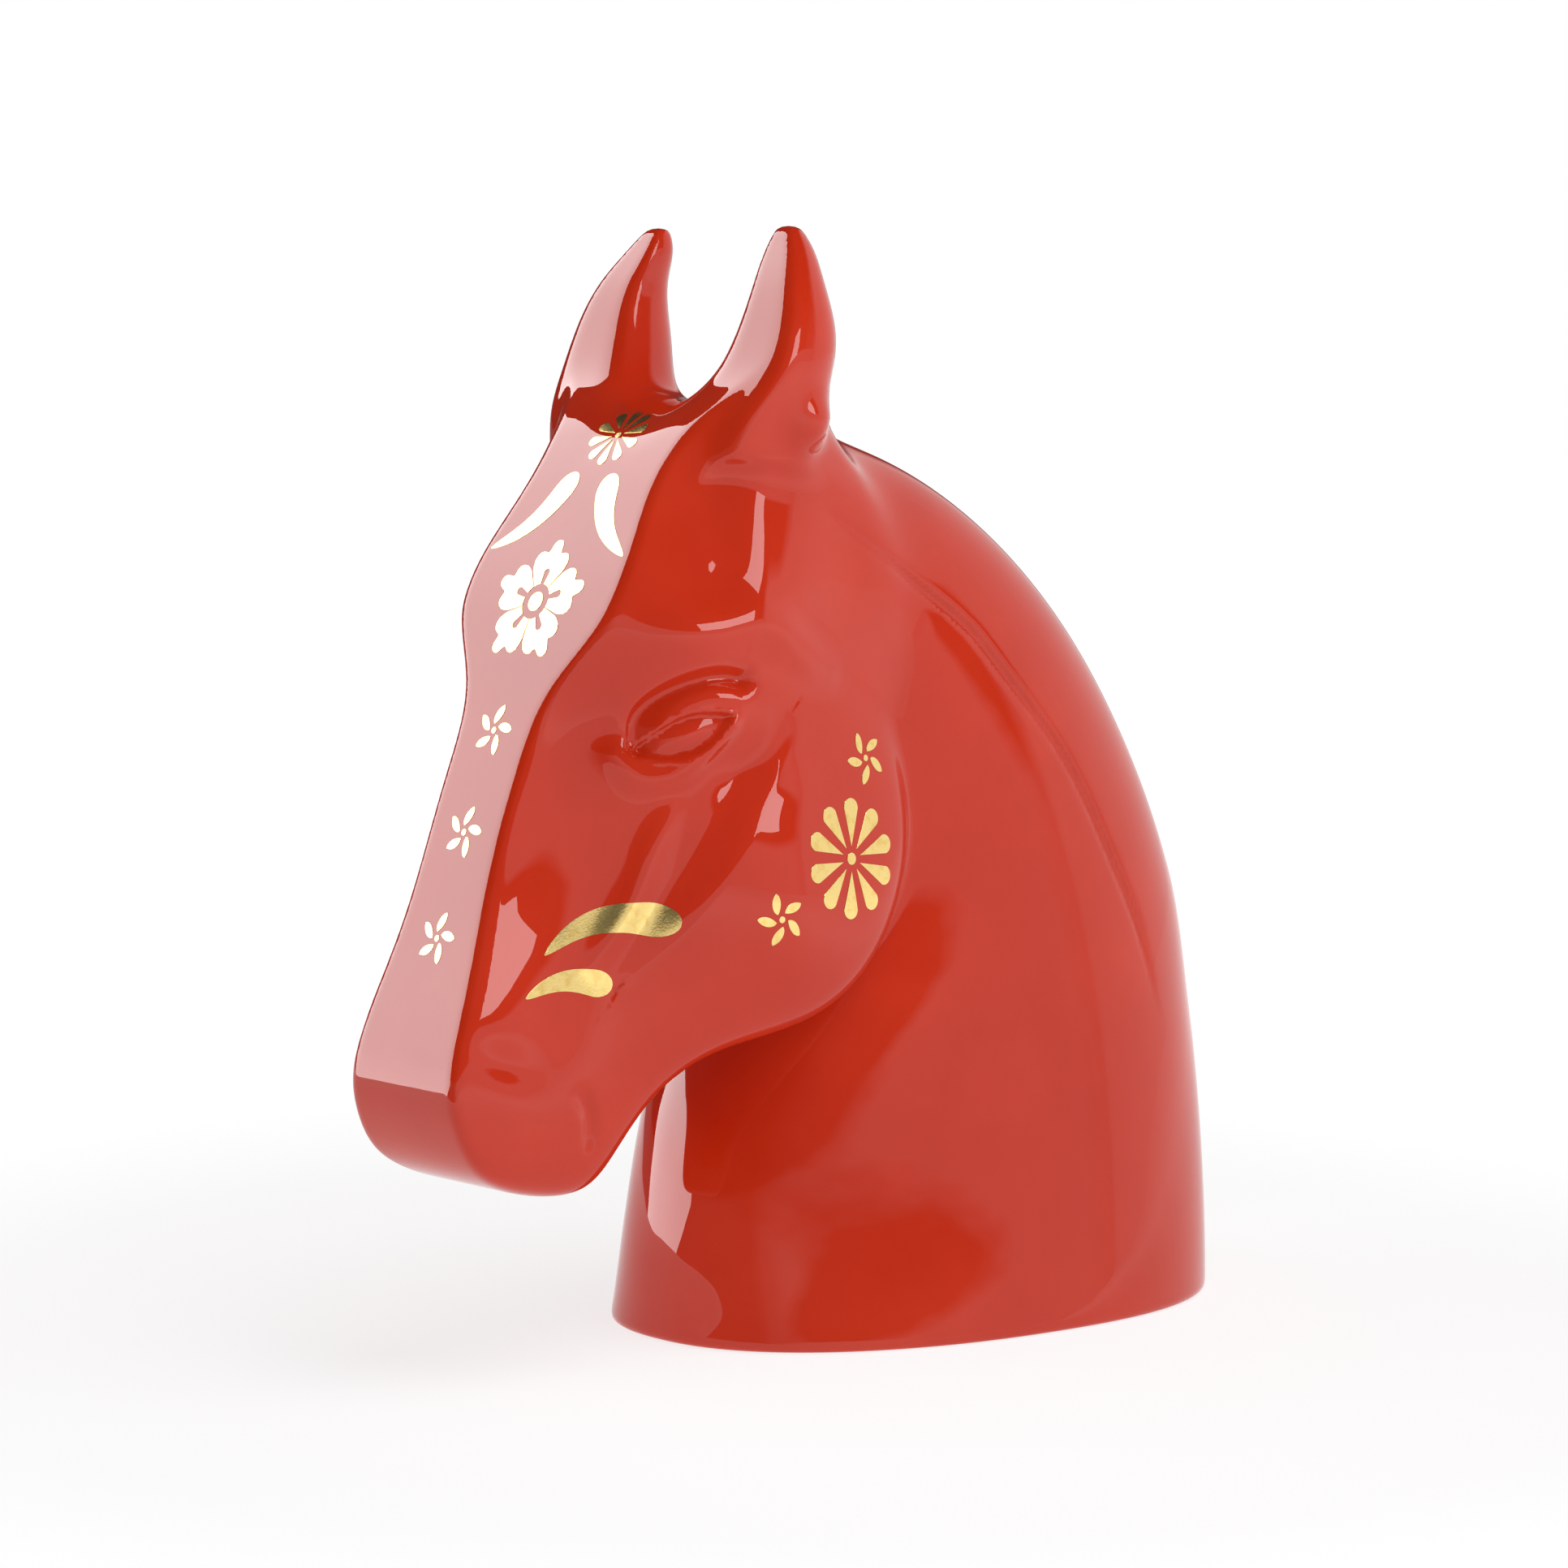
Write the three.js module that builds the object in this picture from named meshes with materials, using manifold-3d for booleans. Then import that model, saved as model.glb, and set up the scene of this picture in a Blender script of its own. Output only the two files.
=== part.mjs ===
// A slip-cast porcelain horse-head bust: neck, head and two ears cast as separate hollow pieces,
// luted together before firing, closed from below by a vented base plate, and decorated with
// overglaze gold transfers. Millimetres, +Z up, the horse looks along -Y, its left side is +X.
import * as THREE from "three";
import { mergeVertices } from "three/addons/utils/BufferGeometryUtils.js";
import Module from "manifold-3d";

const AXIS_X = new THREE.Vector3(1, 0, 0);
const AXIS_Y = new THREE.Vector3(0, 1, 0);
const AXIS_Z = new THREE.Vector3(0, 0, 1);
const { clamp, lerp, smoothstep } = THREE.MathUtils;

// ---------------------------------------------------------------- driving dimensions
const HEIGHT = 300; // floor to ear tips
const WALL = 6; // cast wall thickness
const GAP = 0.3; // clearance between two pieces that touch
const TRANSFER = 0.4; // thickness of a gold transfer

// Size of the mesh cells of each casting's outside, and of every inside.
const NECK_CELL = 10;
const HEAD_CELL = 7.5;
const EAR_CELL = 6;
const INSIDE_CELL = 10;

// The seam between head and neck is an arc about a sideways axis, seen from the side.
const SEAM = { y: -107, z: 182, radius: 128, top: 256, bottom: 62 };
const EAR_SEAM_Z = 258; // the ears are cast separately above this height
const NECK_FRONT = -60; // nothing of the neck casting lies in front of this
const BOX_CENTRE_Y = 3; // middle of the bust's length, put over the origin at the end

// The plate fills the neck from inside. Its span is its shorter side, over which its clearance is taken.
const PLATE = { bottom: 2, thickness: 6, span: 124, ventRadius: 8, ventY: 45 };

// The neck is drawn in sections that fan up and back from a pivot on the floor, far in front.
const NECK_PIVOT_Y = -120;

// The head is drawn in its own axes: s runs down the face from the crown, t runs back from the face.
const CROWN = { y: -52, z: 255 };
const FACE_TILT = THREE.MathUtils.degToRad(24); // of the face line from the vertical

// ---------------------------------------------------------------- curves
// A natural cubic spline through [position, value] knots, held constant past its ends.
function spline(...knots) {
  const n = knots.length;
  const bend = new Array(n).fill(0);
  const ratio = new Array(n).fill(0);
  for (let i = 1; i < n - 1; i++) {
    const before = knots[i][0] - knots[i - 1][0];
    const after = knots[i + 1][0] - knots[i][0];
    const jump = (knots[i + 1][1] - knots[i][1]) / after - (knots[i][1] - knots[i - 1][1]) / before;
    const pivot = 2 * (before + after) - before * ratio[i - 1];
    ratio[i] = after / pivot;
    bend[i] = (6 * jump - before * bend[i - 1]) / pivot;
  }
  for (let i = n - 2; i > 0; i--) bend[i] -= ratio[i] * bend[i + 1];
  return (at) => {
    const p = Math.min(Math.max(at, knots[0][0]), knots[n - 1][0]);
    let i = 0;
    while (i < n - 2 && p > knots[i + 1][0]) i++;
    const width = knots[i + 1][0] - knots[i][0];
    const b = (p - knots[i][0]) / width;
    const a = 1 - b;
    const curve = ((a * a * a - a) * bend[i] + (b * b * b - b) * bend[i + 1]) * ((width * width) / 6);
    return a * knots[i][1] + b * knots[i + 1][1] + curve;
  };
}

// A closed spline through points, as short straight steps.
function closedOutline(points, steps) {
  const lap = points.length;
  const wrapped = [...points, ...points, ...points].map(([y, z], i) => ({ i, y, z }));
  const alongY = spline(...wrapped.map((p) => [p.i, p.y]));
  const alongZ = spline(...wrapped.map((p) => [p.i, p.z]));
  return Array.from({ length: lap * steps }, (_, i) => {
    const at = lap + i / steps;
    return [alongY(at), alongZ(at)];
  });
}

// Signed distance from a closed outline, negative inside.
function distanceTo(outline, y, z) {
  let nearest = Infinity;
  let inside = false;
  for (let i = 0, j = outline.length - 1; i < outline.length; j = i++) {
    const [ay, az] = outline[j];
    const [by, bz] = outline[i];
    const dy = by - ay;
    const dz = bz - az;
    const along = clamp(((y - ay) * dy + (z - az) * dz) / (dy * dy + dz * dz), 0, 1);
    nearest = Math.min(nearest, (y - ay - along * dy) ** 2 + (z - az - along * dz) ** 2);
    if (az > z !== bz > z && y < ((by - ay) * (z - az)) / (bz - az) + ay) inside = !inside;
  }
  return inside ? -Math.sqrt(nearest) : Math.sqrt(nearest);
}

// The lower of two fields, with the crease between them filled to a fillet of about size k.
function blendMin(a, b, k) {
  const h = Math.max(k - Math.abs(a - b), 0) / k;
  return Math.min(a, b) - (h * h * h * k) / 6;
}
const blendMax = (a, b, k) => -blendMin(-a, -b, k);

// ---------------------------------------------------------------- neck
// Each curve gives a size of the section at an angle in degrees above the floor, seen from the pivot.
const neckInner = spline(
  ...[[-10, 74], [0, 74], [15, 77], [25, 84], [32, 93]],
  ...[[36, 102], [39, 113], [43, 130], [52, 158], [68, 185]],
);
const neckOuter = spline(
  ...[[-10, 255], [0, 256], [12, 262.5], [25, 274]],
  ...[[38, 282], [52, 283], [60, 278], [68, 268]],
);
const neckHalfWidth = spline(
  ...[[-10, 65], [0, 65], [11, 60], [23, 54]],
  ...[[36, 47], [49, 39], [63, 31], [75, 26]],
);
const NECK_END = 66; // angle of the last section, buried in the head
const NECK_END_FILLET = 12;
const NECK_SQUARENESS = 2.3; // 2 is an ellipse
const NECK_EGG = 0.12; // how much wider the section is towards the crest
const EGG_REACH = 1.2; // the section stops widening this far out, as a share of its half depth

function neckField(x, y, z) {
  const angle = THREE.MathUtils.radToDeg(Math.atan2(z, y - NECK_PIVOT_Y));
  const radius = Math.hypot(z, y - NECK_PIVOT_Y);
  const inner = neckInner(angle);
  const outer = neckOuter(angle);
  const depth = (outer - inner) / 2;
  const across = (radius - (inner + outer) / 2) / depth;
  const egg = 1 + NECK_EGG * clamp(across, -EGG_REACH, EGG_REACH);
  const half = neckHalfWidth(angle) * egg;
  const n = NECK_SQUARENESS;
  const size = (Math.abs(x / half) ** n + Math.abs(across) ** n) ** (1 / n);
  const end = radius * Math.sin(THREE.MathUtils.degToRad(angle - NECK_END));
  return blendMax((size - 1) * Math.min(half, depth), end, NECK_END_FILLET);
}

// ---------------------------------------------------------------- head
const HEAD_OUTLINE = [
  [-40, 254],
  [-58, 245],
  [-74, 223],
  [-87, 200],
  [-100, 169],
  [-110, 143],
  [-119, 116],
  [-127, 95],
  [-131, 80],
  [-129, 68],
  [-122, 57],
  [-108, 50],
  [-92, 48],
  [-81, 55],
  [-69, 71],
  [-51, 83],
  [-26, 90],
  [-3, 106],
  [10, 130],
  [12, 156],
  [8, 190],
  [-2, 228],
  [-18, 250],
];
const OUTLINE_STEPS = 8; // straight steps from each point of the outline to the next
const headOutline = closedOutline(HEAD_OUTLINE, OUTLINE_STEPS);

// Half widths of the head, one row for each station s down the face, across t from the face back.
const HEAD_T = [-12, 0, 12, 28, 50, 78, 108];
const HEAD_WIDTHS = [
  [0, [25, 29, 32, 34, 32, 28, 24]],
  [30, [26, 30, 35, 37, 37, 34, 30]],
  [55, [31, 36, 40, 42, 41, 38, 34]],
  [68, [29, 34, 40, 43, 42, 41, 38]],
  [85, [19, 24, 32, 38, 42, 44, 42]],
  [110, [15.5, 18, 24, 33, 42, 47, 45]],
  [140, [15.5, 17.5, 21, 28, 38, 45, 44]],
  [165, [17, 19, 21.5, 26, 32, 36, 36]],
  [190, [20, 21.5, 23.5, 26, 28, 29, 29]],
  [215, [20, 21.5, 23, 24, 25, 25, 25]],
];
const headWidthRows = HEAD_WIDTHS.map(([, row]) => spline(...row.map((w, i) => [HEAD_T[i], w])));

function headWidth(s, t) {
  return spline(...HEAD_WIDTHS.map(([station], i) => [station, headWidthRows[i](t)]))(s);
}

const FACE_ROUNDING = 9; // of the edges between the face and the sides
const JAW_ROUNDING = 18; // and of those round the jaw
const FACE_DEPTH = 5; // how far back from the face the first ends
const JAW_DEPTH = 45; // and the second starts

function headField(x, y, z) {
  const dy = y - CROWN.y;
  const dz = z - CROWN.z;
  const s = -dy * Math.sin(FACE_TILT) - dz * Math.cos(FACE_TILT);
  const t = dy * Math.cos(FACE_TILT) - dz * Math.sin(FACE_TILT);
  const side = Math.abs(x) - headWidth(s, t);
  const rounding = lerp(FACE_ROUNDING, JAW_ROUNDING, smoothstep(t, FACE_DEPTH, JAW_DEPTH));
  return blendMax(distanceTo(headOutline, y, z), side, rounding);
}

// ---------------------------------------------------------------- ears
// Each curve gives a place or size of the round section at a height.
const EAR_ROOT = 232;
const EAR_ROOT_ROUNDING = 4;
const EAR_TIP_ROUNDING = 3;
const earX = spline([232, 29], [250, 32], [262, 33], [273, 33.3], [286, 31.2], [295, 28], [300, 26.5]);
const earY = spline([232, -29], [250, -31], [262, -31], [273, -29.6], [286, -26.8], [295, -23.4], [300, -22]);
const earHalf = spline([232, 12], [250, 13.5], [262, 14.2], [273, 11.8], [286, 8], [294, 5], [300, 2.5]);

function earField(x, y, z) {
  const half = earHalf(z);
  const dx = (Math.abs(x) - earX(z)) / half;
  const dy = (y - earY(z)) / half;
  const round = (Math.hypot(dx, dy) - 1) * half;
  const top = z - HEIGHT;
  return blendMax(blendMax(round, EAR_ROOT - z, EAR_ROOT_ROUNDING), top, EAR_TIP_ROUNDING);
}

// ---------------------------------------------------------------- the whole outer surface
const THROAT = { fillet: 10, top: 165 }; // where the head joins the neck, below this height
const NAPE = { fillet: 26, bottom: 215 }; // and above this height
const EAR_FILLET = 16;
const SEAM_MARGIN = 10; // how far each casting's surface runs on past the seam that cuts it
const EAR_MARGIN = 22; // and how far an ear's runs down inside the head

function trunkField(x, y, z) {
  const joint = lerp(THROAT.fillet, NAPE.fillet, smoothstep(z, THROAT.top, NAPE.bottom));
  return blendMin(neckField(x, y, z), headField(x, y, z), joint);
}

const bustField = (x, y, z) =>
  blendMin(trunkField(x, y, z), earField(x, y, z), EAR_FILLET);
const neckOutside = (x, y, z) => Math.max(trunkField(x, y, z), -z - WALL, NECK_FRONT - y);
const headOutside = (x, y, z) => Math.max(bustField(x, y, z), z - EAR_SEAM_Z - SEAM_MARGIN, -z);
const earOutside = (x, y, z) => Math.max(bustField(x, y, z), EAR_SEAM_Z - EAR_MARGIN - z);
const insideTrunk = (x, y, z) => Math.max(trunkField(x, y, z) + WALL, -z - WALL);
const insideEars = (x, y, z) =>
  Math.max(bustField(x, y, z) + WALL, EAR_SEAM_Z - EAR_MARGIN - z);

// ---------------------------------------------------------------- meshing
// Space that holds the whole bust with a margin.
const BOX_LOW = [-76, -146, -16];
const BOX_HIGH = [76, 150, 310];

// Surface nets: one vertex in each cell that the surface crosses, then moved onto the surface.
// A plane of the grid lies on x = 0, so that the two sides of the bust come out alike.
function meshField(field, cell) {
  const low = [-cell * Math.ceil(-BOX_LOW[0] / cell), BOX_LOW[1], BOX_LOW[2]];
  const high = BOX_HIGH;
  const count = low.map((v, i) => Math.ceil((high[i] - v) / cell) + 1);
  const [nx, ny, nz] = count;
  const at = (i, j, k) => i + nx * (j + ny * k);
  const values = new Float32Array(nx * ny * nz);
  for (let k = 0; k < nz; k++)
    for (let j = 0; j < ny; j++)
      for (let i = 0; i < nx; i++)
        values[at(i, j, k)] = field(low[0] + i * cell, low[1] + j * cell, low[2] + k * cell);

  const corners = [0, 1, nx, nx + 1, nx * ny, nx * ny + 1, nx * ny + nx, nx * ny + nx + 1];
  const vertexOf = new Map();
  const positions = [];
  for (let k = 0; k < nz - 1; k++)
    for (let j = 0; j < ny - 1; j++)
      for (let i = 0; i < nx - 1; i++) {
        const base = at(i, j, k);
        const inside = corners.filter((c) => values[base + c] < 0).length;
        if (inside === 0 || inside === 8) continue;
        vertexOf.set(base, positions.length);
        positions.push(edgeCrossingsMean(values, base, corners, [i, j, k], low, cell));
      }
  for (const p of positions) settle(p, field, cell);

  const faces = [];
  const quad = (a, b, c, d, flip) => {
    const ring = [a, b, c, d].map((v) => vertexOf.get(v));
    if (flip) ring.reverse();
    faces.push([ring[0], ring[1], ring[2]], [ring[0], ring[2], ring[3]]);
  };
  const steps = [1, nx, nx * ny];
  for (let k = 1; k < nz - 1; k++)
    for (let j = 1; j < ny - 1; j++)
      for (let i = 1; i < nx - 1; i++)
        for (let axis = 0; axis < 3; axis++) {
          const base = at(i, j, k);
          const here = values[base] < 0;
          if (here === values[base + steps[axis]] < 0) continue;
          const u = steps[(axis + 1) % 3];
          const v = steps[(axis + 2) % 3];
          quad(base - u - v, base - v, base, base - u, !here);
        }
  return { positions, faces };
}

function edgeCrossingsMean(values, base, corners, [i, j, k], low, cell) {
  const sum = [0, 0, 0];
  let crossings = 0;
  for (let a = 0; a < 8; a++)
    for (const bit of [1, 2, 4]) {
      const b = a | bit;
      const va = values[base + corners[a]];
      const vb = values[base + corners[b]];
      if (b === a || va < 0 === vb < 0) continue;
      const along = va / (va - vb);
      crossings++;
      for (let axis = 0; axis < 3; axis++)
        sum[axis] += ((a >> axis) & 1) + (((b >> axis) & 1) - ((a >> axis) & 1)) * along;
    }
  return [i, j, k].map((index, axis) => low[axis] + (index + sum[axis] / crossings) * cell);
}

// Moves a point onto the surface along the field's gradient.
function settle(p, field, cell) {
  const step = 0.01;
  for (let pass = 0; pass < 4; pass++) {
    const value = field(...p);
    const slope = [0, 1, 2].map((axis) => {
      const q = [...p];
      q[axis] += step;
      return (field(...q) - value) / step;
    });
    const steep = slope[0] ** 2 + slope[1] ** 2 + slope[2] ** 2;
    if (steep < 0.01) return;
    const move = clamp(value / steep, -cell / 2, cell / 2);
    for (let axis = 0; axis < 3; axis++) p[axis] -= move * slope[axis];
  }
}

// ---------------------------------------------------------------- solids
const wasm = await Module();
wasm.setup();

function solidOf(geometry) {
  const bare = geometry.clone();
  bare.deleteAttribute("normal");
  bare.deleteAttribute("uv");
  const merged = mergeVertices(bare, 1e-4);
  return new wasm.Manifold(
    new wasm.Mesh({
      numProp: 3,
      vertProperties: new Float32Array(merged.attributes.position.array),
      triVerts: new Uint32Array(merged.index.array),
    }),
  );
}

function geometryOf(solid) {
  const mesh = solid.getMesh();
  const geometry = new THREE.BufferGeometry();
  geometry.setAttribute("position", new THREE.Float32BufferAttribute(mesh.vertProperties, 3));
  geometry.setIndex(Array.from(mesh.triVerts));
  geometry.computeVertexNormals();
  return geometry;
}

// The triangles of a field's surface, shared between a solid and the skins offset from it.
function surfaceOf(field, cell) {
  const { positions, faces } = meshField(field, cell);
  const geometry = new THREE.BufferGeometry();
  geometry.setAttribute("position", new THREE.Float32BufferAttribute(positions.flat(), 3));
  geometry.setIndex(faces.flat());
  geometry.computeVertexNormals();
  return geometry;
}

function offset(geometry, distance) {
  const moved = geometry.clone();
  const { position, normal } = moved.attributes;
  for (let i = 0; i < position.count; i++) {
    position.setXYZ(
      i,
      position.getX(i) + normal.getX(i) * distance,
      position.getY(i) + normal.getY(i) * distance,
      position.getZ(i) + normal.getZ(i) * distance,
    );
  }
  return moved;
}

function boxSolid([x0, x1], [y0, y1], [z0, z1]) {
  const box = new THREE.BoxGeometry(x1 - x0, y1 - y0, z1 - z0);
  return solidOf(box.translate((x0 + x1) / 2, (y0 + y1) / 2, (z0 + z1) / 2));
}

// Everything on the head's side of the seam, kept back from it by a clearance.
function headSide(clearance) {
  const radius = SEAM.radius - clearance;
  const angleAt = (z) => Math.asin((z - SEAM.z) / radius);
  const side = new THREE.Shape();
  side.moveTo(BOX_LOW[1], BOX_HIGH[2] + 1);
  side.lineTo(BOX_LOW[1] - 1, SEAM.bottom / 2);
  side.lineTo(SEAM.y + radius * Math.cos(angleAt(SEAM.bottom)), SEAM.bottom / 2);
  side.absarc(SEAM.y, SEAM.z, radius, angleAt(SEAM.bottom), angleAt(SEAM.top), false);
  side.lineTo(SEAM.y + radius * Math.cos(angleAt(SEAM.top)), BOX_HIGH[2] + 1);
  const width = BOX_HIGH[0] - BOX_LOW[0];
  const slab = new THREE.ExtrudeGeometry(side, { depth: width, bevelEnabled: false, curveSegments: 24 });
  slab.translate(0, 0, -width / 2);
  slab.applyMatrix4(new THREE.Matrix4().makeBasis(AXIS_Y, AXIS_Z, AXIS_X));
  return solidOf(slab);
}

// ---------------------------------------------------------------- castings
const glaze = { color: 0xc22a1c, roughness: 0.08, metalness: 0 };
const bisque = { color: 0xe6ddd0, roughness: 0.85, metalness: 0 };
const gold = { color: 0xd9a441, roughness: 0.12, metalness: 1 };

const bust = new THREE.Group();
bust.position.y = -BOX_CENTRE_Y;

function add(name, solid, finish, mirror = 1) {
  const geometry = geometryOf(solid);
  const mesh = new THREE.Mesh(geometry, new THREE.MeshStandardMaterial(finish));
  mesh.scale.x = mirror;
  mesh.name = name;
  bust.add(mesh);
}

const neckSurface = surfaceOf(neckOutside, NECK_CELL);
const headSurface = surfaceOf(headOutside, HEAD_CELL);
const earSurface = surfaceOf(earOutside, EAR_CELL);
const WIDE_X = [2 * BOX_LOW[0], 2 * BOX_HIGH[0]]; // cutting slabs run well clear of the bust
const WIDE_Y = [2 * BOX_LOW[1], 2 * BOX_HIGH[1]];
const hollow = solidOf(surfaceOf(insideTrunk, INSIDE_CELL));
const earHollow = solidOf(surfaceOf(insideEars, EAR_CELL));

const belowEars = boxSolid(WIDE_X, WIDE_Y, [-1, EAR_SEAM_Z - GAP / 2]);
const aboveFloor = boxSolid(WIDE_X, WIDE_Y, [0, BOX_HIGH[2]]);
const neckCasting = solidOf(neckSurface)
  .intersect(aboveFloor)
  .subtract(headSide(-GAP / 2))
  .subtract(hollow);
const headCasting = solidOf(headSurface)
  .intersect(headSide(GAP / 2))
  .intersect(belowEars)
  .subtract(hollow)
  .subtract(earHollow);
add("neck_casting", neckCasting, glaze);
add("head_casting", headCasting, glaze);

const EAR_INNER_X = 2; // nothing of the left ear lies nearer the middle than this
const aboveSeam = boxSolid([EAR_INNER_X, WIDE_X[1]], WIDE_Y, [EAR_SEAM_Z + GAP / 2, BOX_HIGH[2]]);
const ear = solidOf(earSurface).intersect(aboveSeam).subtract(earHollow);
add("ear_left", ear, glaze);
add("ear_right", ear, glaze, -1);

// ---------------------------------------------------------------- base plate
const plateShrink = 1 - (2 * GAP) / PLATE.span;
const vent = new THREE.CylinderGeometry(PLATE.ventRadius, PLATE.ventRadius, 4 * PLATE.thickness, 32);
vent.rotateX(Math.PI / 2).translate(0, PLATE.ventY, 0);
const slab = boxSolid(WIDE_X, WIDE_Y, [PLATE.bottom, PLATE.bottom + PLATE.thickness]);
const plate = hollow
  .translate([0, -PLATE.ventY, 0])
  .scale([plateShrink, plateShrink, 1])
  .translate([0, PLATE.ventY, 0])
  .intersect(slab)
  .subtract(solidOf(vent));
add("base_plate", plate, bisque);

// ---------------------------------------------------------------- gold transfers
// Each is a prism of its outline, trimmed to a thin skin that lies just off the glaze.
const skinOver = (surface) =>
  solidOf(offset(surface, GAP + TRANSFER)).subtract(solidOf(offset(surface, GAP)));
const headSkin = skinOver(headSurface);

function polarShape(turns, profile) {
  const points = [];
  for (let i = 0; i < turns; i++)
    for (const [radius, share] of profile) {
      const angle = ((i + share) / turns) * 2 * Math.PI + Math.PI / 2;
      points.push(new THREE.Vector2(radius * Math.cos(angle), radius * Math.sin(angle)));
    }
  return new THREE.Shape(points);
}

// Ten round-ended petals that narrow towards a hub.
const daisy = (radius) =>
  polarShape(10, [
    [radius * 0.25, -0.34],
    [radius * 0.8, -0.27],
    [radius, -0.08],
    [radius, 0.08],
    [radius * 0.8, 0.27],
    [radius * 0.25, 0.34],
  ]);

// Five leaf-shaped petals, swept sideways.
const pinwheel = (radius) =>
  polarShape(5, [
    [radius * 0.22, -0.3],
    [radius * 0.6, -0.3],
    [radius, 0.02],
    [radius * 0.75, 0.24],
    [radius * 0.22, 0.3],
  ]);

// Five broad petals, each with a pointed tip between two round shoulders.
const blossom = (radius) =>
  polarShape(5, [
    [radius * 0.5, -0.48],
    [radius * 0.82, -0.4],
    [radius * 0.88, -0.22],
    [radius * 0.86, -0.12],
    [radius, 0],
    [radius * 0.86, 0.12],
    [radius * 0.88, 0.22],
    [radius * 0.82, 0.4],
    [radius * 0.5, 0.48],
  ]);

// A bent drop: round head at the origin, tail at (length, 0), swelling to one side on the way.
function stroke(length, width, bow) {
  const edge = (side) =>
    Array.from({ length: 9 }, (_, i) => {
      const along = i / 9;
      const half = (width / 2) * Math.sqrt(1 - (1 - Math.min(along / 0.2, 1)) ** 2) * (1 - along) ** 0.6;
      return new THREE.Vector2(along * length, bow * Math.sin(Math.PI * along) + side * half);
    });
  const tail = new THREE.Vector2(length, 0);
  return new THREE.Shape([...edge(-1).slice(1), tail, ...edge(1).reverse()]);
}

// Lays a shape on the surface: `at` is its centre, `up` its upward direction, `out` the way it faces.
function transfer(name, shape, { at, out, up, turn = 0, depth = 12, skin = headSkin }, mirror = 1) {
  const prism = new THREE.ExtrudeGeometry(shape, { depth: 2 * depth, bevelEnabled: false, curveSegments: 8 });
  prism.translate(0, 0, -depth).rotateZ(turn);
  const right = new THREE.Vector3().crossVectors(up, out).normalize();
  const upright = new THREE.Vector3().crossVectors(out, right).normalize();
  prism.applyMatrix4(new THREE.Matrix4().makeBasis(right, upright, out.clone().normalize()));
  prism.translate(at.x, at.y, at.z);
  add(name, solidOf(prism).intersect(skin), gold, mirror);
}

const onFace = (y, z, pitch) => {
  const tilt = THREE.MathUtils.degToRad(pitch); // how far the surface leans back there
  return {
    at: new THREE.Vector3(0, y, z),
    out: new THREE.Vector3(0, -Math.cos(tilt), Math.sin(tilt)),
    up: AXIS_Z,
  };
};
const onCheek = (y, z, x = 40) => ({ at: new THREE.Vector3(x, y, z), out: AXIS_X, up: AXIS_Z });

transfer("crown_daisy", daisy(10), onFace(-58, 245, 45));
transfer("forehead_blossom", blossom(18), { ...onFace(-86, 202, 27), turn: 0.1 });
transfer("bridge_pinwheel_1", pinwheel(7.2), { ...onFace(-100, 169, 21), turn: 0.3 });
transfer("bridge_pinwheel_2", pinwheel(7.2), { ...onFace(-110, 143, 20), turn: 0.3 });
transfer("bridge_pinwheel_3", pinwheel(7.2), { ...onFace(-119, 116, 19), turn: 0.3 });

const browStroke = { ...onFace(-66, 235, 33), turn: -0.86 };
browStroke.at.x = 7;
const upperStroke = { ...onCheek(-68, 119, 34), turn: Math.PI + 0.2 };
const lowerStroke = { ...onCheek(-84, 103, 28), turn: Math.PI + 0.06 };
for (const [side, mirror] of [["left", 1], ["right", -1]]) {
  transfer("brow_stroke_" + side, stroke(32, 9, -4), browStroke, mirror);
  transfer("cheek_daisy_" + side, daisy(16), onCheek(-16, 133), mirror);
  transfer("cheek_pinwheel_upper_" + side, pinwheel(7.2), onCheek(-7, 159), mirror);
  transfer("cheek_pinwheel_lower_" + side, pinwheel(7.2), onCheek(-42, 119), mirror);
  transfer("cheek_stroke_upper_" + side, stroke(34, 10, -5), upperStroke, mirror);
  transfer("cheek_stroke_lower_" + side, stroke(24, 8, -3), lowerStroke, mirror);
}

export default bust;
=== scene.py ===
"""A glazed porcelain horse-head bust with gold transfers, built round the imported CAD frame."""

import math

import bpy
import numpy as np
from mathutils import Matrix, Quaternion, Vector


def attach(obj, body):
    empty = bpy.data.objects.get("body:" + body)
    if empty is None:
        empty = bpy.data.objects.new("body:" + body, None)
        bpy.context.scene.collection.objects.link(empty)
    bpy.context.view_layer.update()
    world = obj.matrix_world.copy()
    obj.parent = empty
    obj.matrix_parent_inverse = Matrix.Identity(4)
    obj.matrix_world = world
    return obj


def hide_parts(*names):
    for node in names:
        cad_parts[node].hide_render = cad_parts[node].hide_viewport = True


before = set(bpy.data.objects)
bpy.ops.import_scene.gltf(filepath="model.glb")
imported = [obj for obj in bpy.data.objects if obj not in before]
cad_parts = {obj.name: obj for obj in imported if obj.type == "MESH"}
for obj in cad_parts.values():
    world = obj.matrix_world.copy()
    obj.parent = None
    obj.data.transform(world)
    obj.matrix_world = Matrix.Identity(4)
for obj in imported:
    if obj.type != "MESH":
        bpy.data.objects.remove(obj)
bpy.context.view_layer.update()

# ------------------------------------------------------------------ driving dimensions, in millimetres
# The bust's fields have their own origin, and the row frame's lies this far behind it.
CENTRE_Y = 3.0
HEIGHT = 300.0
WALL = 6.0
FOOT_ROUNDING = 3.5
CAVITY_TOP = 60.0  # how far up the open inside of the neck is modelled
CELL = 1.25  # size of the mesh cells
MESH_HALF, MESH_Y, MESH_Z = 74, (-140, 145), (-6, 306)  # the space that is meshed
NECK_PIVOT_Y = -120.0  # the neck's sections turn about a line across the floor, here
CROWN_Y, CROWN_Z = -52.0, 255.0  # the face starts here and slopes down and forward
FACE_TILT = math.radians(24)
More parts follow.
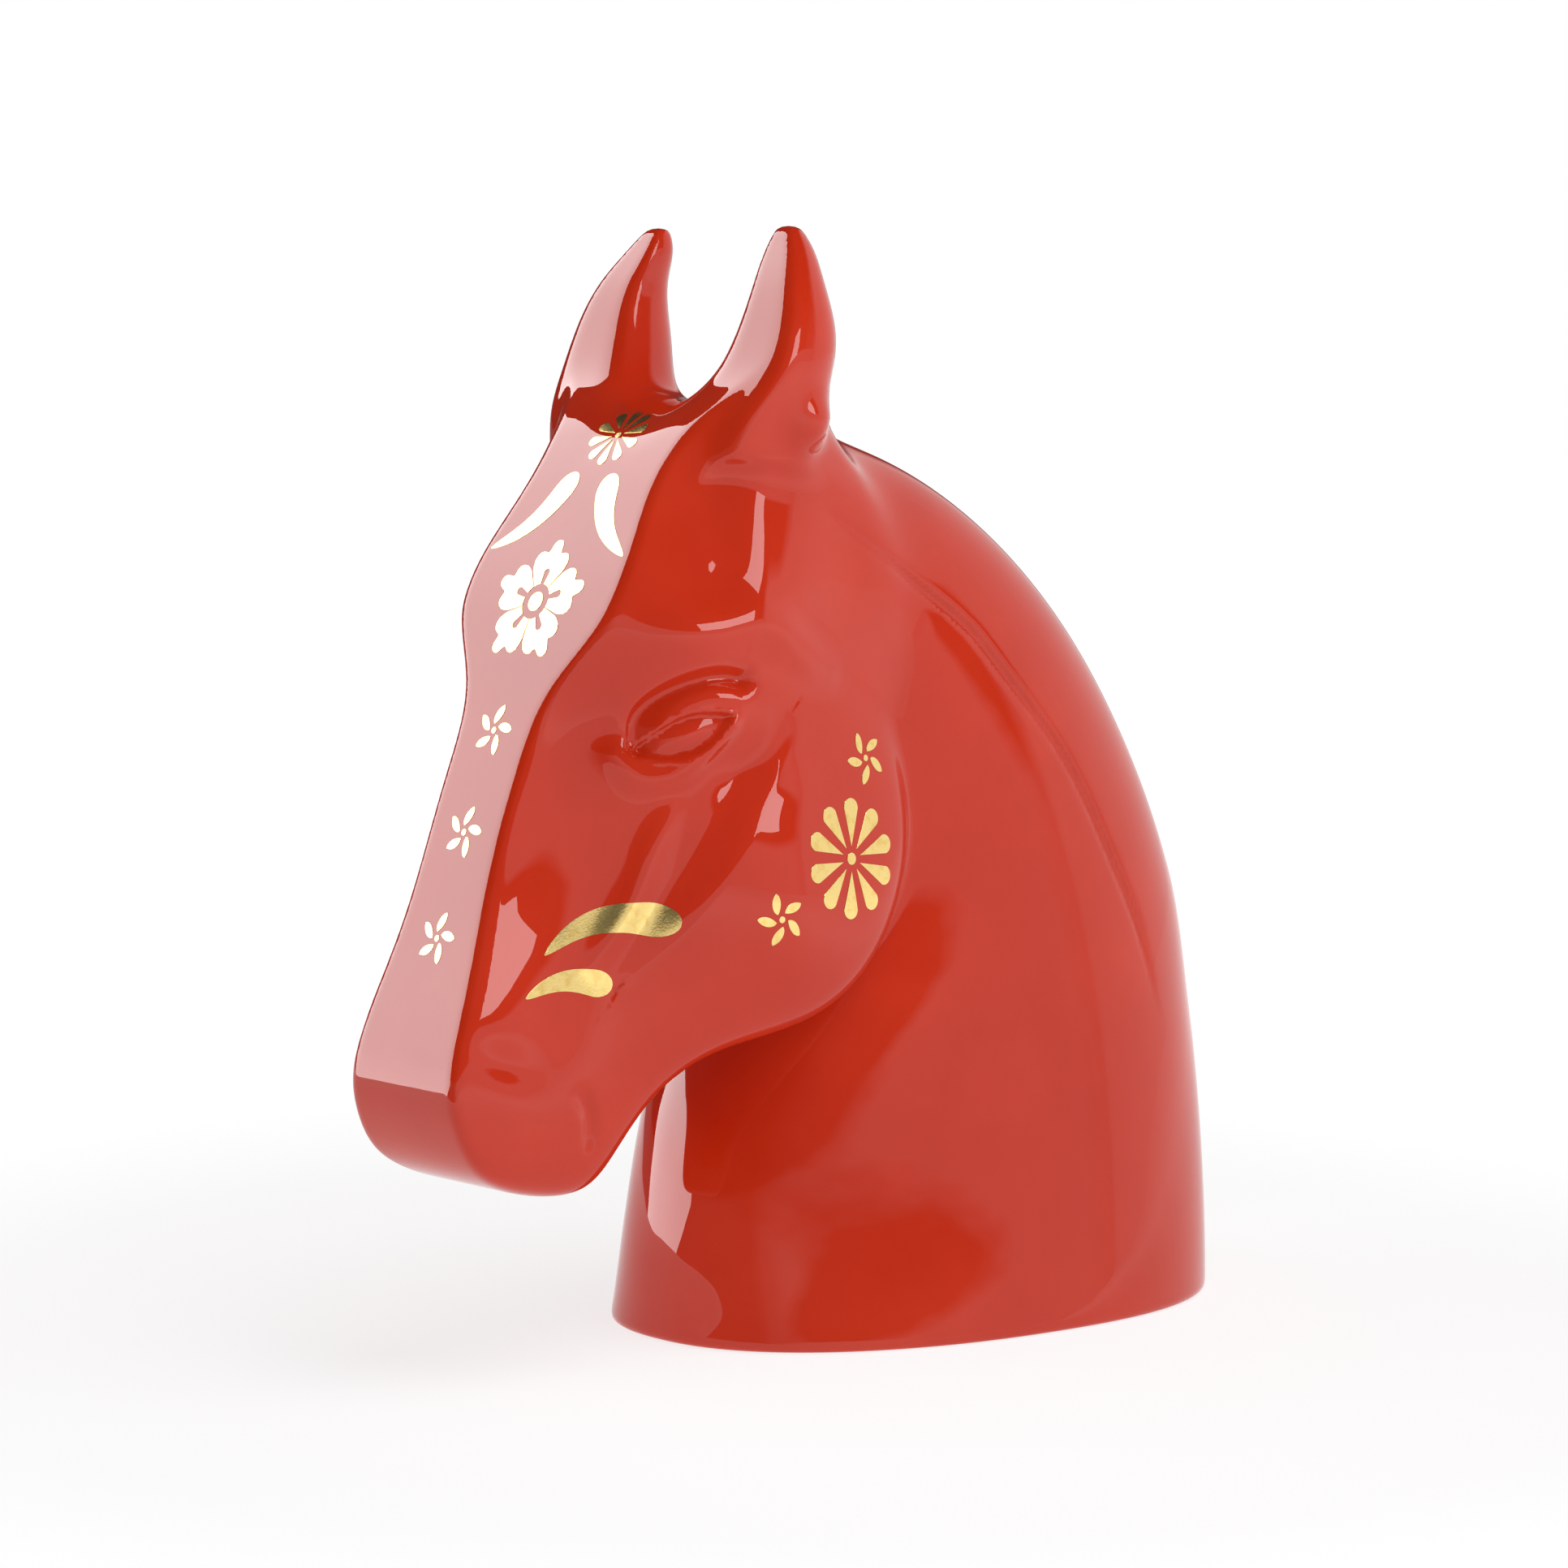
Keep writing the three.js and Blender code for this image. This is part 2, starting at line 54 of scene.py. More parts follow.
FILM = 0.12  # how far a gold transfer stands proud of the glaze
GLAZE_DEEP = (0.51, 0.022, 0.004)
GLAZE_RED = (0.54, 0.026, 0.0055)
GLAZE_THIN = (0.57, 0.031, 0.008)
GOLD_WORN = (0.82, 0.56, 0.17)
GOLD_BRIGHT = (0.91, 0.67, 0.25)
CLAY_DARK = (0.48, 0.36, 0.27)
CLAY = (0.74, 0.66, 0.57)
CLAY_PALE = (0.82, 0.76, 0.69)


# ------------------------------------------------------------------ curves and blends
def spline(*knots):
    """A natural cubic spline through (position, value) knots, held constant past its ends."""
    at = np.array([k[0] for k in knots], float)
    return lambda x: through(at, np.array([k[1] for k in knots], float), x)


def bend_matrix(at):
    """Second derivatives of the natural spline at its knots, as a matrix on the knots' values."""
    n = len(at)
    left = np.eye(n)
    right = np.zeros((n, n))
    for i in range(1, n - 1):
        before, after = at[i] - at[i - 1], at[i + 1] - at[i]
        left[i, i - 1 : i + 2] = before / 6, (before + after) / 3, after / 6
        right[i, i - 1 : i + 2] = 1 / before, -1 / before - 1 / after, 1 / after
    return np.linalg.solve(left, right)


def through(at, values, x):
    """The spline at x. Each knot has one value, or else a row with its own value for each x."""
    x = np.clip(x, at[0], at[-1])
    i = np.clip(np.searchsorted(at, x, side="right") - 1, 0, len(at) - 2)
    bend = bend_matrix(at) @ values
    width = at[i + 1] - at[i]
    b = (x - at[i]) / width
    a = 1 - b
    own = () if values.ndim == 1 else (np.arange(len(x)),)
    before, after = (i, *own), (i + 1, *own)
    curve = (a**3 - a) * bend[before] + (b**3 - b) * bend[after]
    return a * values[before] + b * values[after] + curve * width**2 / 6


def blend_min(a, b, k):
    """The lower of two fields, with the crease between them filled to a fillet of about size k."""
    h = np.maximum(k - np.abs(a - b), 0) / k
    return np.minimum(a, b) - h**3 * k / 6


def blend_max(a, b, k):
    return -blend_min(-a, -b, k)


def smoothstep(x, low, high):
    u = np.clip((x - low) / (high - low), 0, 1)
    return u * u * (3 - 2 * u)


# ------------------------------------------------------------------ neck
# By a section's angle in degrees: its throat's and its crest's distance from the pivot, and its half width.
NECK_INNER = spline(
    (-10, 71), (0, 73), (15, 77), (25, 84), (32, 93),
    (36, 102), (39, 113), (43, 130), (52, 158), (68, 185),
)
NECK_OUTER = spline(
    (-10, 255), (0, 256), (12, 262.5), (25, 274), (38, 282), (52, 283), (60, 278), (68, 268),
)
NECK_HALF = spline((-10, 67), (0, 65), (11, 60), (23, 54), (36, 47), (49, 39), (63, 31), (75, 26))
NECK_SQUARENESS = 2.3
NECK_EGG = 0.12  # how much wider the section is at the crest than in its middle
NECK_EGG_REACH = 1.2  # as a share of the half depth
NECK_END = 66  # degrees
NECK_END_FILLET = 12
FLANK = (0.2, 0.6)  # where the mane's relief comes in, as a share of the half width


def neck_field(x, y, z):
    angle = np.degrees(np.arctan2(z, y - NECK_PIVOT_Y))
    radius = np.hypot(z, y - NECK_PIVOT_Y)
    inner, outer = NECK_INNER(angle), NECK_OUTER(angle)
    depth = (outer - inner) / 2
    across = (radius - (inner + outer) / 2) / depth
    half = NECK_HALF(angle) * (1 + NECK_EGG * np.clip(across, -NECK_EGG_REACH, NECK_EGG_REACH))
    n = NECK_SQUARENESS
    size = (np.abs(x / half) ** n + np.abs(across) ** n) ** (1 / n)
    end = radius * np.sin(np.radians(angle - NECK_END))
    flank = smoothstep(np.abs(x) / half, *FLANK)
    closed = blend_max((size - 1) * np.minimum(half, depth), end, NECK_END_FILLET)
    return closed - flank * sample(MANE_RELIEF, y, z)


# ------------------------------------------------------------------ head
# The head from the side, as (y, z) points round it.
HEAD_OUTLINE = [
    (-40, 254),
    (-58, 245),
    (-74, 223),
    (-87, 200),
    (-100, 169),
    (-110, 143),
    (-119, 116),
    (-127, 95),
    (-131, 80),
    (-129, 68),
    (-122, 57),
    (-108, 50),
    (-92, 48),
    (-81, 55),
    (-69, 71),
    (-51, 83),
    (-26, 90),
    (-3, 106),
    (10, 130),
    (12, 156),
    (8, 190),
    (-2, 228),
    (-18, 250),
]
OUTLINE_STEPS = 24  # pieces of line between two points
PATH_STEPS = 8
MAP_STEP = 0.5
MAP_Y = np.arange(-152, 164, MAP_STEP)
MAP_Z = np.arange(-22, 322, MAP_STEP)


def closed_outline(points, steps):
    """A smooth closed curve through the points."""
    lap = len(points)
    wrapped = np.array(points * 3, float)
    at = np.arange(3 * lap, dtype=float)
    where = lap + np.arange(lap * steps) / steps
    return np.stack([through(at, wrapped[:, 0], where), through(at, wrapped[:, 1], where)], 1)


def distance_map(outline):
    """Signed distance from a closed outline at each point of the (y, z) map, negative inside."""
    y, z = np.meshgrid(MAP_Y, MAP_Z, indexing="ij")
    nearest = np.full(y.shape, np.inf)
    inside = np.zeros(y.shape, bool)
    for (ay, az), (by, bz) in zip(np.roll(outline, 1, axis=0), outline):
        dy, dz = by - ay, bz - az
        along = np.clip(((y - ay) * dy + (z - az) * dz) / (dy * dy + dz * dz), 0, 1)
        nearest = np.minimum(nearest, (y - ay - along * dy) ** 2 + (z - az - along * dz) ** 2)
        crosses = (az > z) != (bz > z)
        if crosses.any():
            inside ^= crosses & (y < dy * (z - az) / (dz or 1) + ay)
    return np.where(inside, -1, 1) * np.sqrt(nearest)


def cubic_weights(u):
    return (
        ((-0.5 * u + 1) * u - 0.5) * u,
        (1.5 * u - 2.5) * u * u + 1,
        ((-1.5 * u + 2) * u + 0.5) * u,
        (0.5 * u - 0.5) * u * u,
    )


def sample(grid, y, z):
    """The (y, z) map at any point, with smooth cubic interpolation."""
    v = np.clip((y - MAP_Y[0]) / MAP_STEP, 1, len(MAP_Y) - 3.001)
    w = np.clip((z - MAP_Z[0]) / MAP_STEP, 1, len(MAP_Z) - 3.001)
    j, k = v.astype(int), w.astype(int)
    weights_z = cubic_weights(w - k)
    total = 0
    for dj, weight_y in enumerate(cubic_weights(v - j)):
        for dk, weight_z in enumerate(weights_z):
            total = total + weight_y * weight_z * grid[j + dj - 1, k + dk - 1]
    return total


HEAD_DISTANCE = distance_map(closed_outline(HEAD_OUTLINE, OUTLINE_STEPS))

# Half widths of the head, one row for each station s down the face, across t from the face back.
HEAD_T = np.array([-12, 0, 12, 28, 50, 78, 108], float)
HEAD_WIDTHS = [
    (0, [25, 29, 32, 34, 32, 28, 24]),
    (30, [26, 30, 35, 37, 37, 34, 30]),
    (55, [31, 36, 40, 42, 41, 38, 34]),
    (68, [29, 34, 40, 43, 42, 41, 38]),
    (85, [19, 24, 32, 38, 42, 44, 42]),
    (110, [15.5, 18, 24, 33, 42, 47, 45]),
    (140, [15.5, 17.5, 21, 28, 38, 45, 44]),
    (165, [17, 19, 21.5, 26, 32, 36, 36]),
    (190, [20, 21.5, 23.5, 26, 28, 29, 29]),
    (215, [20, 21.5, 23, 24, 25, 25, 25]),
]


def width_map():
    y, z = (a.ravel() for a in np.meshgrid(MAP_Y, MAP_Z, indexing="ij"))
    dy, dz = y - CROWN_Y, z - CROWN_Z
    s = -dy * math.sin(FACE_TILT) - dz * math.cos(FACE_TILT)
    t = dy * math.cos(FACE_TILT) - dz * math.sin(FACE_TILT)
    rows = np.stack([through(HEAD_T, np.array(row, float), t) for _, row in HEAD_WIDTHS])
    stations = np.array([station for station, _ in HEAD_WIDTHS], float)
    return through(stations, rows, s).reshape(len(MAP_Y), len(MAP_Z))


HEAD_WIDTH = width_map()


def curve_distance(path, y, z):
    """Distance from a smooth curve through the path's points, positive on one side of it."""
    at = np.arange(len(path), dtype=float)
    path = np.array(path, float)
    where = np.linspace(0, len(path) - 1, PATH_STEPS * (len(path) - 1) + 1)
    line = np.stack([through(at, path[:, 0], where), through(at, path[:, 1], where)], 1)
    nearest, side = np.full(y.shape, np.inf), np.ones(y.shape)
    for (ay, az), (by, bz) in zip(line[:-1], line[1:]):
        dy, dz = by - ay, bz - az
        along = np.clip(((y - ay) * dy + (z - az) * dz) / (dy * dy + dz * dz), 0, 1)
        off = np.hypot(y - ay - along * dy, z - az - along * dz)
        closer = off < nearest
        nearest = np.where(closer, off, nearest)
        side = np.where(closer, np.sign((y - ay) * dz - (z - az) * dy), side)
    return nearest * side


def turned(y, z, middle, tilt):
    """Distances from a middle along and across a direction tilted up towards the back, in degrees."""
    c, s = math.cos(math.radians(tilt)), math.sin(math.radians(tilt))
    return (y - middle[0]) * c + (z - middle[1]) * s, (z - middle[1]) * c - (y - middle[0]) * s


def mound(y, z, middle, radii, tilt):
    """A smooth hump of height 1 with the given radii, its first axis tilted up towards the back."""
    along, across = turned(y, z, middle, tilt)
    return np.exp(-((along / radii[0]) ** 2) - (across / radii[1]) ** 2)


def ridge(y, z, path, height, breadth, fade=0.0):
    """A soft ridge along a path, or a crease where the height is negative, fading as fade grows."""
    return height * np.exp(-((curve_distance(path, y, z) / breadth) ** 2) - fade)


def beyond(x, middle, half):
    """Nearly 0 round the middle, 1 at half away from it, and steep from there on."""
    return ((x - middle) / half) ** 4


# Paths of the fine shapes on the side of the head and neck, as (y, z) points.
BROW = [(-82, 195), (-70, 195.4), (-57, 196.5), (-43, 196), (-31, 190), (-18, 184)]
LID_CREASE = [(-76, 166), (-75.4, 172.3), (-72, 177.4), (-66, 181), (-57.7, 182.8), (-50, 182)]
LOWER_LID = [(-82, 163), (-78, 158), (-72.5, 156.5), (-66, 158.5), (-60, 163.5), (-54, 170)]
CHEEK_FRONT = [(-34, 172), (-43, 160), (-56, 141), (-68, 124), (-80, 106)]
FACIAL_CREST = [(-69, 150), (-74, 138), (-79, 125), (-88, 108)]
TEMPLE = [(-39, 256), (-42, 243), (-44, 230), (-45, 217), (-47, 204), (-49, 192)]
MOUTH = [(-93, 76), (-90.5, 69), (-90.5, 61)]
MANE_EDGE = [
    (-24, 230), (-11, 220.5), (6, 211), (22, 201), (36, 190),
    (48, 176), (66, 154), (80, 127), (89, 106), (95, 82),
]

# Ridges and creases: height, breadth.
BROW_RIDGE = (2.4, 7)
LID_RIDGE = (1.5, 3.2)
LID_FOLD = (-3.2, 2.8)
CREST_RIDGE = (1.6, 3.6)
MOUTH_CREASE = (-1.3, 2.2)
MANE_GROOVE = (-0.5, 1.8)
# Steps: height, and where they start and end across their path.
CHEEK_STEP = (2.8, -5, 6)
TEMPLE_STEP = (3.4, -12, 4)
MANE_STEP = (1.1, -1.6, 1.6)
# Mounds and hollows: middle, radii, tilt in degrees, and their height.
EYE, EYE_TILT = (-65, 168), 23
EYEBALL, EYEBALL_HEIGHT = (EYE, (14, 9), EYE_TILT), 2.6
PUPIL, PUPIL_SHARE = (EYE, (8, 3.6), EYE_TILT), 0.75
# The opening between the lids: half length, half height and depth, and where its rim starts and ends.
EYE_LENGTH, EYE_HEIGHT, EYE_DEPTH = 12.5, 5.0, 2.6
EYE_RIM = (-0.9, 1.3)
SOCKET, SOCKET_HEIGHT = ((-64, 178), (20, 10), 15), -2.6
HOLLOW, HOLLOW_HEIGHT = ((-52, 160), (16, 9), -40), -1.8
MUZZLE, MUZZLE_HEIGHT = ((-116, 98), (14, 27), -30), 2.2
NOSTRIL, NOSTRIL_HEIGHT = ((-116, 86), (9, 5), -25), -0.9
# Windows outside which a shape is gone: middle, half length.
BROW_Y = (-52, 33)
CHEEK_Y, CHEEK_Z = (-60, 30), (138, 31)
CREST_Z, TEMPLE_Z, MOUTH_Z = (130, 20), (222, 26), (69, 8)
# The temple's step dies away between these distances behind its path, and the mane comes in over these.
TEMPLE_BACK = (8, 40)
MANE_Z, MANE_Y = (78, 120), (-24, -8)


def eye_relief(y, z):
    """The eye: a rounded ball set back between two lids that meet in corners, under a deep fold."""
    along, across = turned(y, z, EYE, EYE_TILT)
    opening = EYE_HEIGHT * (1 - (along / EYE_LENGTH) ** 2) - np.abs(across)
    inside = smoothstep(opening, *EYE_RIM)
    ball = EYEBALL_HEIGHT * mound(y, z, *EYEBALL)
    fold = ridge(y, z, LID_CREASE, *LID_FOLD)
    return ball + fold - EYE_DEPTH * inside * (1 - PUPIL_SHARE * mound(y, z, *PUPIL))


def relief(y, z):
    """Fine shapes carved into each side of the head, as extra half width."""
    brow = ridge(y, z, BROW, *BROW_RIDGE, beyond(y, *BROW_Y))
    socket = SOCKET_HEIGHT * mound(y, z, *SOCKET)
    lid = ridge(y, z, LOWER_LID, *LID_RIDGE)
    height, start, end = CHEEK_STEP
    window = np.exp(-beyond(y, *CHEEK_Y) - beyond(z, *CHEEK_Z))
    cheek = height * window * smoothstep(-curve_distance(CHEEK_FRONT, y, z), start, end)
    crest = ridge(y, z, FACIAL_CREST, *CREST_RIDGE, beyond(z, *CREST_Z))
    hollow = HOLLOW_HEIGHT * mound(y, z, *HOLLOW)
    height, start, end = TEMPLE_STEP
    side = -curve_distance(TEMPLE, y, z)
    fade = np.exp(-beyond(z, *TEMPLE_Z)) * (1 - smoothstep(side, *TEMPLE_BACK))
    temple = height * fade * smoothstep(side, start, end)
    mouth = ridge(y, z, MOUTH, *MOUTH_CREASE, beyond(z, *MOUTH_Z))
    muzzle = MUZZLE_HEIGHT * mound(y, z, *MUZZLE) + NOSTRIL_HEIGHT * mound(y, z, *NOSTRIL)
    return brow + socket + lid + cheek + crest + hollow + temple + mouth + muzzle + eye_relief(y, z)


def mane_relief(y, z):
    """The crest of the neck stands a little proud of its sides, and its edge fades at the foot."""
    height, start, end = MANE_STEP
    step = height * smoothstep(-curve_distance(MANE_EDGE, y, z), start, end)
    fade = smoothstep(z, *MANE_Z) * smoothstep(y, *MANE_Y)
    return fade * (step + ridge(y, z, MANE_EDGE, *MANE_GROOVE))


HEAD_WIDTH = HEAD_WIDTH + relief(*np.meshgrid(MAP_Y, MAP_Z, indexing="ij"))
MANE_RELIEF = mane_relief(*np.meshgrid(MAP_Y, MAP_Z, indexing="ij"))


# The edge between the head's outline and its sides is rounded by this much, more behind the face.
FACE_ROUNDING, JAW_ROUNDING, FACE_DEPTH = 4.5, 14.0, (5, 45)


def head_field(x, y, z):
    t = (y - CROWN_Y) * math.cos(FACE_TILT) - (z - CROWN_Z) * math.sin(FACE_TILT)
    side = np.abs(x) - sample(HEAD_WIDTH, y, z)
    rounding = FACE_ROUNDING + (JAW_ROUNDING - FACE_ROUNDING) * smoothstep(t, *FACE_DEPTH)
    return blend_max(sample(HEAD_DISTANCE, y, z), side, rounding)


# ------------------------------------------------------------------ ears
# By height: the middle of an ear's section, its half width, and its half depth as a share of that.
EAR_X = spline((240, 28.5), (250, 30.5), (262, 33), (273, 34), (286, 32), (295, 28.6), (300, 27))
EAR_Y = spline(
    (240, -41), (250, -38), (262, -32.4), (273, -29.2), (286, -26.4), (295, -23.2), (300, -22),
)
EAR_HALF = spline((240, 10.5), (250, 12.4), (262, 12.9), (273, 11.2), (286, 7.9), (295, 5), (300, 2.5))
EAR_DEEP = spline((240, 1.0), (250, 0.9), (262, 0.8), (273, 0.78), (286, 0.78), (300, 0.8))
EAR_WIDE = 1.03
EAR_ROOT, EAR_ROOT_ROUNDING, EAR_TIP_ROUNDING = 240, 4, 3
EAR_FRONT, EAR_BACK = 5.0, 2.1  # how square the section is in front and behind
EAR_REAR = 1.6  # how much deeper the section is behind than in front
EAR_KNOB = (40, -28, 249)  # a round swelling at the foot of the ear, on the outside
EAR_KNOB_RADIUS, EAR_KNOB_FILLET = 6.0, 11


def ear_field(x, y, z):
    half = EAR_HALF(z)
    deep = half * EAR_DEEP(z)
    across = np.abs((np.abs(x) - EAR_X(z)) / (half * EAR_WIDE))
    along = (y - EAR_Y(z)) / deep
    n = np.where(along < 0, EAR_FRONT, EAR_BACK)
    along = np.where(along < 0, along, along / EAR_REAR)
    around = ((across**n + np.abs(along) ** n + 1e-9) ** (1 / n) - 1) * deep
    rooted = blend_max(around, EAR_ROOT - z, EAR_ROOT_ROUNDING)
    ear = blend_max(rooted, z - HEIGHT, EAR_TIP_ROUNDING)
    knob_x, knob_y, knob_z = EAR_KNOB
    away = np.sqrt((np.abs(x) - knob_x) ** 2 + (y - knob_y) ** 2 + (z - knob_z) ** 2)
    return blend_min(ear, away - EAR_KNOB_RADIUS, EAR_KNOB_FILLET)


# ------------------------------------------------------------------ the whole surface
# The fillet between head and neck is tight at the throat and wide at the nape.
THROAT_FILLET, NAPE_FILLET, FILLET_RISE = 5, 26, (165, 215)
EAR_FILLET = 16


def trunk_field(x, y, z):
    joint = THROAT_FILLET + (NAPE_FILLET - THROAT_FILLET) * smoothstep(z, *FILLET_RISE)
    return blend_min(neck_field(x, y, z), head_field(x, y, z), joint)


def bust_field(x, y, z):
    return blend_min(trunk_field(x, y, z), ear_field(x, y, z), EAR_FILLET)


def body_field(x, y, z):
    outer = blend_max(bust_field(x, y, z), -z, FOOT_ROUNDING)
    hollow = np.maximum(neck_field(x, y, z) + WALL, z - CAVITY_TOP)
    return np.maximum(outer, -hollow)


# ------------------------------------------------------------------ meshing
def gradient(field, points, step=0.02):
    ahead = [field(*(points + step * axis).T) for axis in np.eye(3)]
    behind = [field(*(points - step * axis).T) for axis in np.eye(3)]
    return (np.stack(ahead, 1) - np.stack(behind, 1)) / (2 * step)


def settle(field, points, reach, passes=3):
    """Points moved onto the surface along the field's gradient."""
    flattest = 0.05
    for _ in range(passes):
        slope = gradient(field, points)
        steep = np.maximum((slope**2).sum(1), flattest)
        move = np.clip(field(*points.T) / steep, -reach, reach)
        points = points - move[:, None] * slope
    return points


def surface_nets(field, low, high, cell):
    """Vertices and quads of the field's zero surface: one vertex in each cell that it crosses."""
    axes = [np.arange(a, b + cell, cell) for a, b in zip(low, high)]
    shape = [len(a) for a in axes]
    values = np.empty(shape)
    y, z = (a.ravel() for a in np.meshgrid(axes[1], axes[2], indexing="ij"))
    for i, x in enumerate(axes[0]):
        values[i] = field(np.full(y.shape, x), y, z).reshape(shape[1:])
    inside = values < 0
    offsets = [(a, b, c) for a in (0, 1) for b in (0, 1) for c in (0, 1)]

    def corner(grid, offset):
        return grid[tuple(slice(o, n - 1 + o) for o, n in zip(offset, shape))]

    count = sum(corner(inside, o).astype(np.int8) for o in offsets)
    mixed = (count > 0) & (count < 8)
    number = np.full(mixed.shape, -1)
    number[mixed] = np.arange(mixed.sum())
    cells = np.argwhere(mixed)

    corners = {o: corner(values, o)[mixed] for o in offsets}
    total = np.zeros((len(cells), 3))
    crossings = np.zeros(len(cells))
    for a in offsets:
        for axis in range(3):
            if a[axis]:
                continue
            b = tuple(1 if k == axis else a[k] for k in range(3))
            crosses = (corners[a] < 0) != (corners[b] < 0)
            span = np.where(crosses, corners[a] - corners[b], 1)
            point = np.tile(np.array(a, float), (len(cells), 1))
            point[:, axis] = corners[a] / span
            total += np.where(crosses[:, None], point, 0)
            crossings += crosses
    points = np.array(low) + (cells + total / crossings[:, None]) * cell

    quads = []
    for axis in range(3):
        u, v = (axis + 1) % 3, (axis + 2) % 3
        here = [slice(1, -1)] * 3
        ahead = list(here)
        ahead[axis] = slice(2, None)
        here_in, ahead_in = inside[tuple(here)], inside[tuple(ahead)]
        at = np.argwhere(here_in != ahead_in) + 1
        ring = []
        for du, dv in ((-1, -1), (0, -1), (0, 0), (-1, 0)):
            shifted = at.copy()
            shifted[:, u] += du
            shifted[:, v] += dv
            ring.append(number[tuple(shifted.T)])
        ring = np.stack(ring, 1)
        outward = here_in[tuple((at - 1).T)]
        ring[~outward] = ring[~outward, ::-1]
        quads.append(ring)
    return points, np.concatenate(quads)


def relax(points, quads, amount):
    """Each vertex moved towards the mean of its neighbours, which evens out the mesh."""
    total = np.zeros_like(points)
    count = np.zeros(len(points))
    for a, b in ((0, 1), (1, 2), (2, 3), (3, 0)):
        for p, q in ((a, b), (b, a)):
            np.add.at(total, quads[:, p], points[quads[:, q]])
            np.add.at(count, quads[:, p], 1)
    return points + amount * (total / count[:, None] - points)


def to_row_frame(points):
    return (points - (0, CENTRE_Y, 0)) / 1000


def new_object(name, points, faces, normals):
    mesh = bpy.data.meshes.new(name)
    mesh.from_pydata(to_row_frame(points).tolist(), [], faces.tolist())
    mesh.shade_smooth()
    mesh.normals_split_custom_set_from_vertices(normals.tolist())
    made = bpy.data.objects.new(name, mesh)
    bpy.context.scene.collection.objects.link(made)
    return made


def unit(rows):
    return rows / np.linalg.norm(rows, axis=1, keepdims=True)


def make_body():
    """The glazed skin: its foot is open, and the inside of the neck shows as far as CAVITY_TOP."""
    half = CELL * math.ceil(MESH_HALF / CELL)
    low, high = (-half, MESH_Y[0], MESH_Z[0]), (half, MESH_Y[1], MESH_Z[1])
    points, quads = surface_nets(body_field, low, high, CELL)
    for _ in range(3):
        points = settle(body_field, relax(points, quads, 0.5), CELL / 2, 1)
    points = settle(body_field, points, CELL / 4, 2)
    return new_object("glazed_body", points, quads, unit(gradient(body_field, points)))


# ------------------------------------------------------------------ gold transfers
# Inside a flower, sizes are shares of its radius.
LEAST = 0.004  # the blunt end of a point
PINWHEEL = 7.2  # the radius of every pinwheel


def rings(count, radius, petal):
    """The same petal repeated round a centre, each petal a grid of (radius, angle) points."""
    grids = []
    for i in range(count):
        r, angle = petal
        turn = angle + 2 * math.pi * i / count + math.pi / 2
        grids.append(np.stack([radius * r * np.cos(turn), radius * r * np.sin(turn)], -1))
    return grids


def strip(line, half, steps=6):
    """A grid of points along a centre line, spread to a half width on each side."""
    slope = unit(np.gradient(line, axis=0))
    across = np.stack([-slope[:, 1], slope[:, 0]], 1)
    spread = np.linspace(-1, 1, steps + 1)
    return line[:, None] + spread[None, :, None] * half[:, None, None] * across[:, None]


def polar(grid):
    """A grid of (x, y) points with x out along the petal, as radius and angle."""
    return np.hypot(grid[..., 0], grid[..., 1]), np.arctan2(grid[..., 1], grid[..., 0])


def dot(radius, size):
    """A round spot, as a strip along its own width."""
    blunt = 0.12
    u = -np.cos(np.linspace(blunt, math.pi - blunt, 13))
    line = np.stack([u * size * radius, 0 * u], 1)
    return strip(line, size * radius * np.sqrt(1 - u**2))


def daisy(radius):
    """Ten drop-shaped petals, their points towards a round eye."""
    inner, shoulder, fat, eye = 0.21, 0.84, 0.16, 0.1
    round_end = shoulder + fat * np.sin(np.linspace(0, 1.45, 7))
    u = np.concatenate([np.linspace(inner, shoulder, 10)[:-1], round_end])
    rise = np.maximum(u - inner, LEAST) / (shoulder - inner)
    cap = np.sqrt(np.maximum(1 - (np.maximum(u - shoulder, 0) / fat) ** 2, 0))
    petal = strip(np.stack([u, 0 * u], 1), fat * np.minimum(rise, cap))
    return rings(10, radius, polar(petal)) + [dot(radius, eye)]


def pinwheel(radius):
    """Five pointed leaves, each swept round from its root, about a round eye."""
    root, sweep, fat, eye = 0.26, 0.5, 0.17, 0.12
    u = np.linspace(0, 1, 13)
    away = root + (1 - root) * u
    turn = sweep * (1 - u) ** 2
    line = np.stack([away * np.cos(turn), away * np.sin(turn)], 1)
    half = fat * np.maximum(4 * u * (1 - u), LEAST) ** 0.75
    return rings(5, radius, polar(strip(line, half))) + [dot(radius, eye)]


# How far a blossom petal's rim is from the centre, by the angle from the petal's middle in degrees.
BLOSSOM_RIM = spline(
    (0, 1.0), (3.5, 0.985), (6.5, 0.92), (8.5, 0.83), (11, 0.8),
    (16, 0.825), (22, 0.835), (28, 0.78), (33, 0.65), (35, 0.54),
)


def blossom(radius):
    """Five broad petals with a pointed middle lobe, each slit from its root, about a round eye."""
    root, slit_end, slit_round, slit_half, eye = 0.28, 0.53, 0.07, 8.0, 0.15
    side = np.array([0, 2, 4, 6, 7.3, 7.9, 8.1, 9, 10, 12, 15, 18, 22, 26, 30, 33, 34.3])
    degrees = np.concatenate([-side[:0:-1], side])
    rim = BLOSSOM_RIM(np.abs(degrees))
    in_slit = np.abs(degrees) < slit_half
    end = slit_end - slit_round * (1 - np.sqrt(np.maximum(1 - (degrees / slit_half) ** 2, 0)))
    inner = np.where(in_slit, end, root)
    share = np.linspace(0, 1, 8)
    r = inner[:, None] + share[None, :] * (rim - inner)[:, None]
    angle = np.radians(degrees)[:, None] + 0 * r
    return rings(5, radius, (r, angle)) + [dot(radius, eye)]


